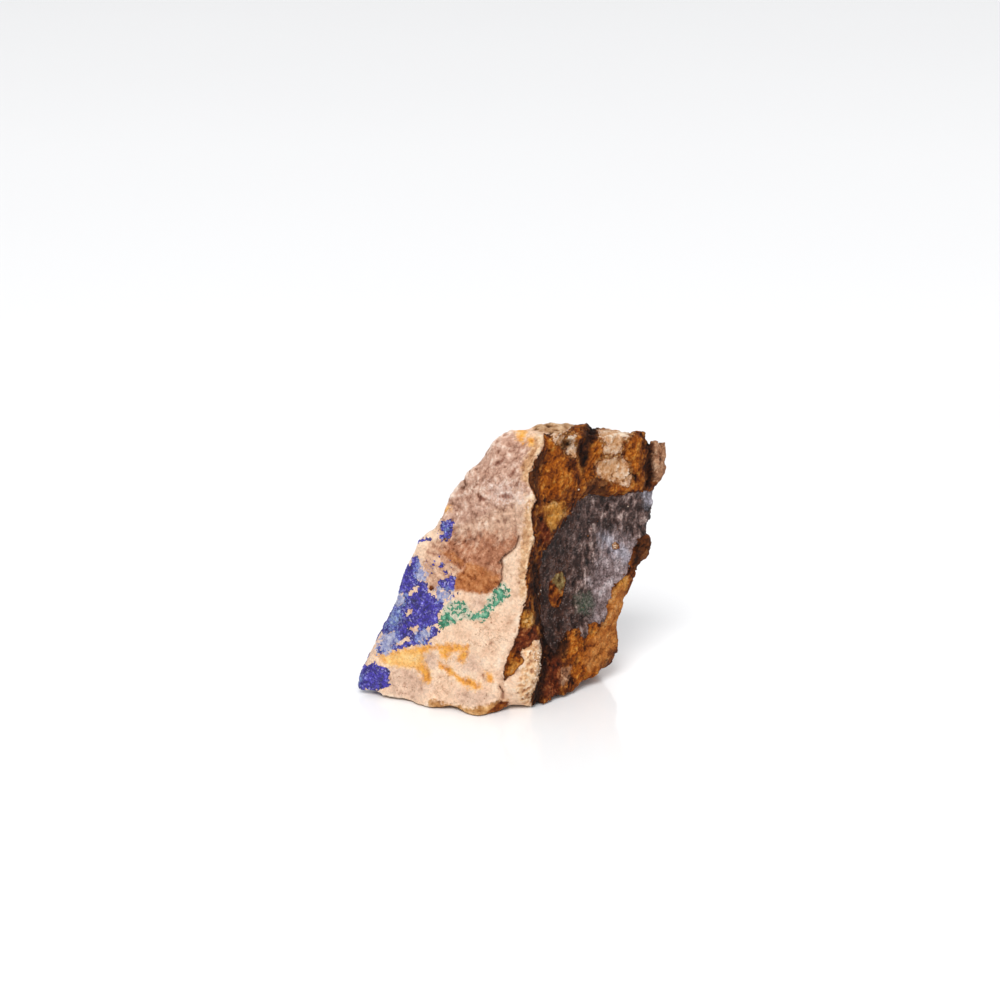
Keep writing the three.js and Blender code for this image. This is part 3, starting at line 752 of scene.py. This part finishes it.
def crust(name, field_at, height_at, steps):
    """A closed layer on the rock, which stands up inside its field and is sunk outside: the piece
    and its points in mm. Its top cuts each face of the rock into steps both ways."""
    faces = rock_faces[field_at(rock_points)[rock_faces].max(1) > -CRUST_SKIRT]
    share = np.linspace(0, 1, steps + 1)
    across, along = (g.ravel() for g in np.meshgrid(share, share, indexing="ij"))
    weights = np.stack(
        [(1 - across) * (1 - along), across * (1 - along), across * along, (1 - across) * along]
    )
    places = np.einsum("ck,fcx->fkx", weights, rock_points[faces]).reshape(-1, 3)
    out = np.einsum("ck,fcx->fkx", weights, rock_normals[faces]).reshape(-1, 3)
    _, first, same = np.unique(np.round(places, 4), axis=0, return_index=True, return_inverse=True)
    places, out = places[first], out[first]
    out /= np.linalg.norm(out, axis=1, keepdims=True)
    height = height_at(places, field_at(places))

    grid = same.reshape(len(faces), steps + 1, steps + 1)
    top = np.stack([grid[:, :-1, :-1], grid[:, 1:, :-1], grid[:, 1:, 1:], grid[:, :-1, 1:]], -1)
    sides = np.stack([grid[:, :, 0], grid[:, -1, :], grid[:, ::-1, -1], grid[:, 0, ::-1]], 1)
    ends = sides[:, :, [0, -1]] @ [[len(places), 1], [1, len(places)]]
    rim = ~np.isin(ends[:, :, 0], ends[:, :, 1])
    below = np.unique(np.concatenate([sides[:, :, 0].ravel(), sides[rim].ravel()]))
    under = np.full(len(places), -1)
    under[below] = len(places) + np.arange(len(below))
    lower = []
    for around, outer in zip(sides.tolist(), rim.tolist()):
        loop = [p for i, side in enumerate(around) for p in (side[:-1] if outer[i] else side[:1])]
        lower.append(under[loop[::-1]].tolist())
    walls = [
        [b, a, int(under[a]), int(under[b])]
        for side in sides[rim].tolist()
        for a, b in zip(side, side[1:])
    ]
    points = np.concatenate([places + out * height[:, None], places[below] - out[below] * CRUST_DEPTH])
    points[:, 2] = np.maximum(points[:, 2], 0.01)
    # The layer's depth below its mean, from which its hollows get painted shade.
    hollow = np.concatenate([height[height > 0].mean() - height, np.zeros(len(below))])
    piece = skin(name, points, top.reshape(-1, 4).tolist() + lower + walls, {"hollow": hollow})
    return piece, points


limonite_rind, points = crust("limonite_rind", rind_at, rind_height, 2)
mark(limonite_rind, {"border": PATCH_BORDER - np.abs(covered(points, CREAM_PATCHES))})
minerals_and_painted_shade = spread(
    points, bright=BRIGHT_LIMONITE, gold=GOLD_OCHRE, amber=AMBER_ZONES, red=DARK_RED,
    umber=UMBER_ZONES, shade=PAINTED_SHADE_ZONES, black=PAINTED_SHADOW_ZONES,
)
mark(limonite_rind, minerals_and_painted_shade)

# Limonite, earthy: rust brown, matt, nearly black in its hollows and ochre yellow on its knobs; that
# black is partly painted shade and that ochre partly painted light.
RIND_TONES = [
    # field, edge, raggedness and lump size in mm, strength, tones
    ("bright", 2.2, 1.6, 1.5, 0.95, ["#361203", "#86400A", "#B26114", "#D08E3E"]),
    ("gold", 1.4, 1.0, 1.4, 0.9, ["#86400A", "#BE7A2C", "#D49644", "#EABE80"]),
    ("amber", 1.6, 1.2, 1.2, 0.85, ["#6A3208", "#A8622A", "#C4803E", "#DCAA70"]),
    ("border", 0.8, 0.9, 0.8, 0.75, ["#6E3A12", "#B07436", "#CC9C66", "#E0C09A"]),
    ("red", 1.2, 0.8, 0.8, 0.9, ["#1E0802", "#4A1A08", "#702E12", "#A46238"]),
    ("umber", 0.8, 0.8, 1.4, 0.9, ["#4A2A18", "#94664A", "#B88866", "#D8B090"]),
    # painted shade, and the bump's own dark brown
    ("shade", 1.0, 0.8, 1.6, 0.9, ["#180A03", "#42200B", "#5A2E12", "#80502C"]),
    # painted shadow, as on the rock
    ("black", 1.6, 0.8, 1.2, 0.95, ["#020100", "#100603", "#2A130A", "#522A14"]),
]
limonite, tree, place = finish("limonite_earthy")
streaks = leant(tree, place, 1.8)
colour = mottle(tree, streaks, 1.5, ["#120501", "#3E1806", "#68300C", "#925016", "#BC7A38"], 0.21)
for field, *how in RIND_TONES:
    colour, _ = stained(tree, streaks, colour, field, *how)
specks = patches(tree, place, 0.6, 0.56, 0.64, 0.75, Detail=5.0, Roughness=0.75)
colour = darkened(tree, colour, specks, (0.4, 0.3, 0.24))
colour, _ = grained(tree, place, colour, 0.4, 0.22)
normal = rough(tree, place, 0.8, 7.0, 1.0, 0.0006)
dress(limonite_rind, limonite, colour, roughness=0.7, ior=1.6, specular=0.12, normal=normal)
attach(limonite_rind, "root")

# ---- Azurite --------------------------------------------------------------------------------
# A crust of fine azurite crystals, up to 0.4 mm high, that grew on the left edge of the rock and on
# its tip, with a few loose clusters further in.
AZURITE = [
    [(409.7, 565), (414, 556), (418, 553.5), (419, 560), (418, 570), (416, 580), (423.6, 582), (428.4, 584),
     (429, 591.7), (435.3, 597), (443.9, 601.3), (442.8, 607.7), (438.5, 614), (438.5, 623.7),
     (432, 626), (438.5, 629), (437.5, 634.3), (430, 639.7), (424.7, 644), (414, 646), (403, 648),
     (392.7, 650.3), (381, 654.6), (376.7, 652.5), (379, 646), (383, 638), (382, 620), (390, 600),
     (395, 580), (405, 562)],
    [(437.5, 583), (441, 579), (448, 577), (451, 574), (456.7, 577), (455, 585), (453, 590), (447, 591.7),
     (443, 588), (438, 588)],
    [(448, 519), (454, 521), (454, 530), (450, 537), (442, 541), (439, 537), (444, 532), (440, 528),
     (442, 522)],
    [(417, 540), (426, 537.5), (434, 538.5), (430, 541), (424, 542), (418, 543)],
    [(357.5, 669.5), (361.7, 666), (369, 664.7), (374.5, 661), (377.7, 664), (387.3, 667.4),
     (389.5, 671.7), (390, 685.5), (385, 687.7), (375.6, 690.9), (369, 689), (350, 690), (350, 676)],
    [(440, 563), (443, 562), (444, 566), (441, 567)],
]
SPECK_ZONES = [
    [(418, 626), (441, 625), (441, 640), (426, 648), (414, 648)],
    [(426, 560), (436, 554), (452, 560), (458, 566), (456, 574), (440, 580), (430, 574)],
    [(444, 586), (460, 588), (462, 600), (448, 604), (440, 600)],
    [(438, 514), (454, 514), (456, 534), (446, 544), (436, 536)],
]
AZURITE_GAPS = [
    [(408, 592), (412, 589), (418, 586.5), (417, 590), (410, 595.5)],
    [(405.5, 614), (409, 609), (413, 608.5), (411, 613), (407, 616)],
    [(409, 627), (413, 626), (418, 625.5), (418, 633), (414.5, 634), (413, 630), (410, 630)],
    [(396, 642), (404, 638), (410, 637), (409, 640), (402, 644), (397, 645)],
    [(395, 594), (403, 593), (405, 602), (398, 606), (393, 602)],
    [(383, 635), (394, 631), (397, 640), (389, 649), (380, 650)],
    [(421, 632), (429, 628), (430, 636), (422, 643), (419, 641)],
]


def pierced(points, outlines, gaps):
    """How far inside a mineral's outlines points lie, in mm, with gaps left open in it."""
    field = covered(points, outlines)
    seen = view_points(points)
    for gap in gaps:
        field = np.minimum(field, -edge_distance(seen, gap))
    return field


def azurite_at(points):
    """Where azurite grows: inside its outlines and round the left edge to a few patches behind."""
    field = pierced(points, AZURITE, AZURITE_GAPS)
    specks = 1.6 * grain(points + 12, 1.0, 3) - 0.75
    field = np.maximum(field, np.minimum(specks, covered(points, SPECK_ZONES)))
    corner = np.minimum(-points[:, 0] - 14, 5 - 0.6 * behind(points))
    rear = np.minimum(5 * grain(points - 30, 7, 2) + 0.4, np.minimum(behind(points) - 0.8, corner))
    rear = np.minimum(rear, points[:, 2] - 2)
    torn = 0.45 * grain(points, 0.9, 3) + 0.3 * grain(points + 40, 0.45, 2)
    return np.maximum(field, rear) + torn


def azurite_height(points, field):
    """A granular top of crystal ends over a steep rim."""
    ends = 0.17 * cells(points, 0.75) + 0.12 * cells(points + 9, 1.5)
    return -0.12 + rising(field, -0.08, 0.22) * (0.2 + ends)


azurite_crust, points = crust("azurite_crust", azurite_at, azurite_height, 3)
mark(azurite_crust, spread(points, aqua=AQUA_ZONES))

# Azurite, fine crystals: deep violet-blue, glassy on each crystal face, with pale powdery ends.
azurite, tree, place = finish("azurite_crystal_crust")
colour = mottle(tree, place, 1.6, ["#0A0532", "#1A0E60", "#291A84", "#40359C", "#7C78C8"], 0.2)
colour, _ = stained(
    tree, place, colour, "aqua", 0.6, 2.0, 0.8, 0.85, ["#2A2A84", "#5260A4", "#7A8EB6", "#A2B0BE"]
)
colour, crystals = grained(tree, place, colour, 0.36, 0.45)
powder = lay(tree, "SeparateColor", {"Color": crystals["Color"]})[1]
powder = {"Value": powder, "From Min": 0.8, "From Max": 0.9, "To Max": 0.6}
powder = lay(tree, "MapRange", powder)[0]
dusty = patches(tree, place, 2.5, 0.42, 0.6, Detail=3.0)
powder = lay(tree, "Math", {0: powder, 1: dusty}, operation="MULTIPLY")[0]
colour = lay(tree, "MixRGB", {"Fac": powder, "Color1": colour, "Color2": paint("#A4A0D6")})[0]
normal = {"Height": crystals["Distance"], "Strength": 0.7, "Distance": 0.0002}
normal = lay(tree, "Bump", normal)["Normal"]
dress(azurite_crust, azurite, colour, roughness=0.4, ior=1.73, specular=0.35, normal=normal)
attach(azurite_crust, "root")

# ---- Malachite ------------------------------------------------------------------------------
# Thin green malachite in grains and short threads, in a band right of the azurite, where
# copper-bearing water ran out over the cream face.
MALACHITE = [
    [(440.7, 618), (440.7, 628), (451, 624.7), (461, 618), (462, 612), (455, 606), (447, 604),
     (443, 608)],
    [(461, 612), (474.8, 619.4), (483.3, 621.5), (488.7, 615), (487, 606), (481.2, 614), (467.3, 613)],
    [(486, 612), (494, 607.7), (501.5, 602.3), (508, 596), (510, 590.6), (503.6, 583), (499.3, 586),
     (492, 591.7), (488, 597)],
    [(451, 601), (465, 602), (467, 613), (455, 612)],
]
DENSE_MALACHITE = [
    [(439, 611), (447, 610), (453, 619), (451, 627), (440, 630)],
    [(468, 616), (477, 613), (484, 604), (490, 610), (489, 617), (484, 623), (474, 622)],
    [(486, 606), (494, 599), (501, 601), (492, 611), (486, 617)],
    [(497, 587), (504, 582), (511, 590), (509, 598), (501, 604), (495, 600)],
]


def malachite_at(points):
    """Where malachite grows: in its band, and in a few patches behind."""
    corner = np.minimum(-points[:, 0] - 6, 8 - 0.7 * behind(points))
    rear = np.minimum(5 * grain(points - 55, 6, 2) - 0.8, np.minimum(behind(points) - 1.5, corner))
    return np.maximum(covered(points, MALACHITE), np.minimum(rear, points[:, 2] - 2))


def malachite_height(points, field):
    """Loose grains: only where the speckle is strong does the layer stand above the rock."""
    speck = grain(points, 0.75, 3) + 0.35 * grain(points + 7, 2.4, 2)
    speck += 0.22 * np.clip(field, -2, 1) + 0.5 * rising(covered(points, DENSE_MALACHITE), -0.4, 0.8)
    return -0.14 + rising(speck, 0.12, 0.36) * 0.24


malachite_crust, _ = crust("malachite_crust", malachite_at, malachite_height, 3)

# Malachite, earthy to silky: bright to deep green, nearly matt, darker in its thicker grains.
malachite, tree, place = finish("malachite_grains")
colour = mottle(tree, place, 1.2, ["#0A3A28", "#26694C", "#509474", "#A8C8A8"])
colour, grains = grained(tree, place, colour, 0.3, 0.2)
normal = {"Height": grains["Distance"], "Strength": 0.5, "Distance": 0.00015}
normal = lay(tree, "Bump", normal)["Normal"]
dress(malachite_crust, malachite, colour, roughness=0.6, ior=1.65, specular=0.3, normal=normal)
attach(malachite_crust, "root")

# ---- Goethite plate -------------------------------------------------------------------------
# A dark plate of goethite that lines the hollow in the right flank. It grew as close upright
# fibres, so its skin is finely ridged from top to bottom. Its dull lilac to steel sheen is a painted
# reflection in its colour.
# Painted reflection: the plate's right part painted lilac, and two patches of it steel grey, as a sheen.
LILAC_PAINTED_REFLECTION = [
    [(600, 533), (618, 530), (634, 540), (634, 560), (624, 584), (612, 598), (604, 624), (592, 624),
     (594, 600), (588, 580), (598, 560)],
]
STEEL_PAINTED_REFLECTION = [
    [(600, 534), (606, 532), (612, 540), (622, 546), (629, 552), (628, 562), (620, 560), (610, 552),
     (603, 545)],
    [(640, 492), (656, 488), (658, 500), (646, 506)],
]
COPPER_TINT = [
    [(575, 596), (590, 592), (594, 604), (588, 614), (577, 611)],
]
# Painted shade: the plate's left part, which faces away from the light, painted near black.
PLATE_PAINTED_SHADE = [
    [(534, 540), (560, 540), (576, 560), (572, 600), (580, 626), (570, 640), (556, 664), (534, 660)],
    [(538, 545), (560, 520), (575, 500), (584, 508), (572, 530), (560, 560), (538, 575)],
]
PLATE_GAPS = [
    [(561.8, 571.4), (565.4, 579.6), (563.9, 587.8), (561, 600), (558, 608), (551.6, 606),
     (548.6, 594.9), (549.6, 582.7), (555.7, 574.5)],
    [(612, 544.5), (615, 542.5), (618.5, 544.5), (618.5, 548), (615, 549.5), (612.5, 548)],
]


def goethite_at(points):
    """Where the goethite plate lies, with the islets of bare rock in it."""
    return pierced(points, PLATE, PLATE_GAPS) + 0.22 * grain(points, 1.1, 2)


def goethite_height(points, field):
    """Upright fibre ridges with small pits between them."""
    fibres = grain(points * [1, 1, 0.3], 0.8, 3)
    ridges = np.maximum(0.2, 0.32 + 0.14 * fibres + 0.12 * grain(points, 2.4, 2))
    return -0.15 + rising(field, -0.1, 0.3) * ridges


goethite_plate, points = crust("goethite_plate", goethite_at, goethite_height, 2)
minerals_and_painted_shade = spread(
    points, lilac=LILAC_PAINTED_REFLECTION, steel=STEEL_PAINTED_REFLECTION, copper=COPPER_TINT, black=PLATE_PAINTED_SHADE
)
mark(goethite_plate, minerals_and_painted_shade)

# Goethite, fibrous: purple-brown to black, with a dull silky gloss. The black on its left part is
# painted shade, its lilac to steel sheen a painted reflection, and its pale specks painted glints.
PLATE_TONES = [
    # field, edge, raggedness and lump size in mm, strength, tones
    # lilac and steel: painted reflection on the plate's right part
    ("lilac", 3.4, 2.0, 1.2, 0.85, ["#3A2826", "#786463", "#A39293", "#CABEBF"]),
    ("steel", 2.0, 1.6, 1.4, 0.85, ["#3A343C", "#827C84", "#A6A0AA", "#C8C4CC"]),
    ("copper", 2.4, 1.6, 0.9, 0.45, ["#2A3A2C", "#4A6450", "#6A7A66"]),
    # painted shade on the plate's left part
    ("black", 4.0, 1.8, 1.0, 0.8, ["#080301", "#220F07", "#3C1F14", "#603E2E"]),
]
goethite, tree, place = finish("goethite_fibrous_plate")
upright = lay(tree, "VectorMath", {0: place, 1: (1.0, 1.0, 0.6)}, operation="MULTIPLY")[0]
colour = mottle(tree, upright, 1.9, ["#0C0503", "#26150F", "#44302B", "#6C544E", "#A8928A"], 0.18)
for field, *how in PLATE_TONES:
    colour, _ = stained(tree, upright, colour, field, *how)
colour, grains = grained(tree, place, colour, 0.34, 0.5)
# Painted glints: the lightest crystal grains are painted pale, as highlights.
painted_glints = lay(tree, "SeparateColor", {"Color": grains["Color"]})[1]
painted_glints = {"Value": painted_glints, "From Min": 0.86, "From Max": 0.94, "To Max": 0.26}
painted_glints = lay(tree, "MapRange", painted_glints)[0]
colour = lay(tree, "MixRGB", {"Fac": painted_glints, "Color1": colour, "Color2": paint("#9E8C88")})[0]
normal = rough(tree, upright, 0.7, 6.0, 1.0, 0.0004)
dress(goethite_plate, goethite, colour, roughness=0.48, ior=1.9, specular=0.1, normal=normal)
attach(goethite_plate, "root")

# ---- Dolomite crystals ----------------------------------------------------------------------
# Tiny white rhombs of dolomite, a tenth to a third of a millimetre wide, that line the fresh break
# of the block right of the channel, with a few single ones on the plate and the rind.
CRYSTAL_ZONES = [
    [(528, 648), (534, 642), (542, 652), (541, 672), (537, 686), (531, 690), (533, 668)],
]
CRYSTAL_COUNT = 80
CRYSTAL_WIDTH = (0.12, 0.16, 0.34)  # mm: the smallest, the usual and the largest
CRYSTAL_SEAT = (0.05, 0.2)  # mm that its middle stands off the rock
CRYSTAL_MARGIN = 0.2  # mm inside the outline
CRYSTAL_SEED = 7
SINGLE_REACH = 2  # view points round a single one's spot
SINGLE_CRYSTALS = [
    (615, 545.6), (616, 547), (616.8, 545.8), (615.6, 546.4), (602.4, 496), (540.5, 592), (539, 594.4),
    (592, 497), (628, 505), (579, 489.6),
]
LEAN = np.array([[1, 0.28, 0.28], [0, 0.96, 0.2], [0, 0, 0.94]])  # a cube's axes leant to a rhomb's
CUBE = np.array([[x, y, z] for x in (-0.5, 0.5) for y in (-0.5, 0.5) for z in (-0.5, 0.5)])
CUBE_FACES = [[0, 1, 3, 2], [4, 6, 7, 5], [0, 4, 5, 1], [2, 3, 7, 6], [0, 2, 6, 4], [1, 5, 7, 3]]


def crystal_places():
    """Points of the rock's surface that crystals sit on."""
    towards = EYE - rock_points
    seen = view_points(rock_points)
    front = np.flatnonzero(np.einsum("ij,ij->i", rock_normals, towards) > 0)
    single = []
    for spot in SINGLE_CRYSTALS:
        near = front[np.hypot(*(seen[front] - spot).T) < SINGLE_REACH]
        single.append(near[np.linalg.norm(towards[near], axis=1).argmin()])
    inside = front[covered(rock_points[front], CRYSTAL_ZONES) > CRYSTAL_MARGIN]
    return np.concatenate([single, chance.choice(inside, CRYSTAL_COUNT)])


chance = np.random.default_rng(CRYSTAL_SEED)
points, faces = [], []
for place in crystal_places():
    turn, _ = np.linalg.qr(chance.normal(size=(3, 3)))
    turn *= np.sign(np.linalg.det(turn))
    faces += [[corner + 8 * len(points) for corner in face] for face in CUBE_FACES]
    middle = rock_points[place] + rock_normals[place] * chance.uniform(*CRYSTAL_SEAT)
    points.append(CUBE @ LEAN @ turn * chance.triangular(*CRYSTAL_WIDTH) + middle)
dolomite_crystals = skin("dolomite_crystals", np.concatenate(points), faces, {})
dolomite_crystals.data.shade_flat()

# Dolomite, crystallised: pearly white with a peach cast, and bright on its flat cleavage faces.
dolomite, tree, place = finish("dolomite_crystal_white")
colour = mottle(tree, place, 1.5, ["#D6B496", "#EACDB2", "#F2DEC8", "#F8EEE0"])
dress(dolomite_crystals, dolomite, colour, roughness=0.25, ior=1.68)
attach(dolomite_crystals, "root")

# ---- Floor and light ------------------------------------------------------------------------
# A white table with a faint gloss, and even studio light: one broad soft light high in front and a
# little to the left, weaker ones on the front right and behind, and a pale room.
FLOOR_SIZE = 12.0  # m
CLOUD_SIZE = 400  # mm, of the faint clouds in the white
ROOM_STRENGTH = 0.42
floor_mesh = bpy.data.meshes.new("table")
half = FLOOR_SIZE / 2
floor_mesh.from_pydata(
    [(-half, -half, 0), (half, -half, 0), (half, half, 0), (-half, half, 0)], [], [(0, 1, 2, 3)]
)
floor = bpy.data.objects.new("table", floor_mesh)
bpy.context.scene.collection.objects.link(floor)
white, tree, place = finish("white_laminate")
cloud = lay(tree, "TexNoise", {"Vector": place, "Scale": 1 / CLOUD_SIZE})["Fac"]
colour = {"Fac": cloud, "Color1": paint("#FAFAFA"), "Color2": paint("#F6F6F6")}
colour = lay(tree, "MixRGB", colour)[0]
dress(floor, white, colour, roughness=0.12, ior=1.45)

# Each light: its strength, how wide it is as seen from the rock, its height and its bearing.
for name, strength, width, height, bearing in [
    ("key", 2.3, 30, 48, -12),
    ("fill", 0.6, 60, 30, 45),
    ("back", 0.9, 70, 55, 170),
]:
    light = bpy.data.lights.new(name, "SUN")
    light.energy = strength
    light.angle = math.radians(width)
    lamp = bpy.data.objects.new(name, light)
    lamp.rotation_euler = (math.radians(90 - height), 0, math.radians(bearing))
    bpy.context.scene.collection.objects.link(lamp)

room = bpy.data.worlds.new("room")
room.use_nodes = True
room.node_tree.nodes["Background"].inputs["Color"].default_value = paint("#FBFCFF")
room.node_tree.nodes["Background"].inputs["Strength"].default_value = ROOM_STRENGTH
bpy.context.scene.world = room
bpy.context.scene.view_settings.view_transform = "Standard"
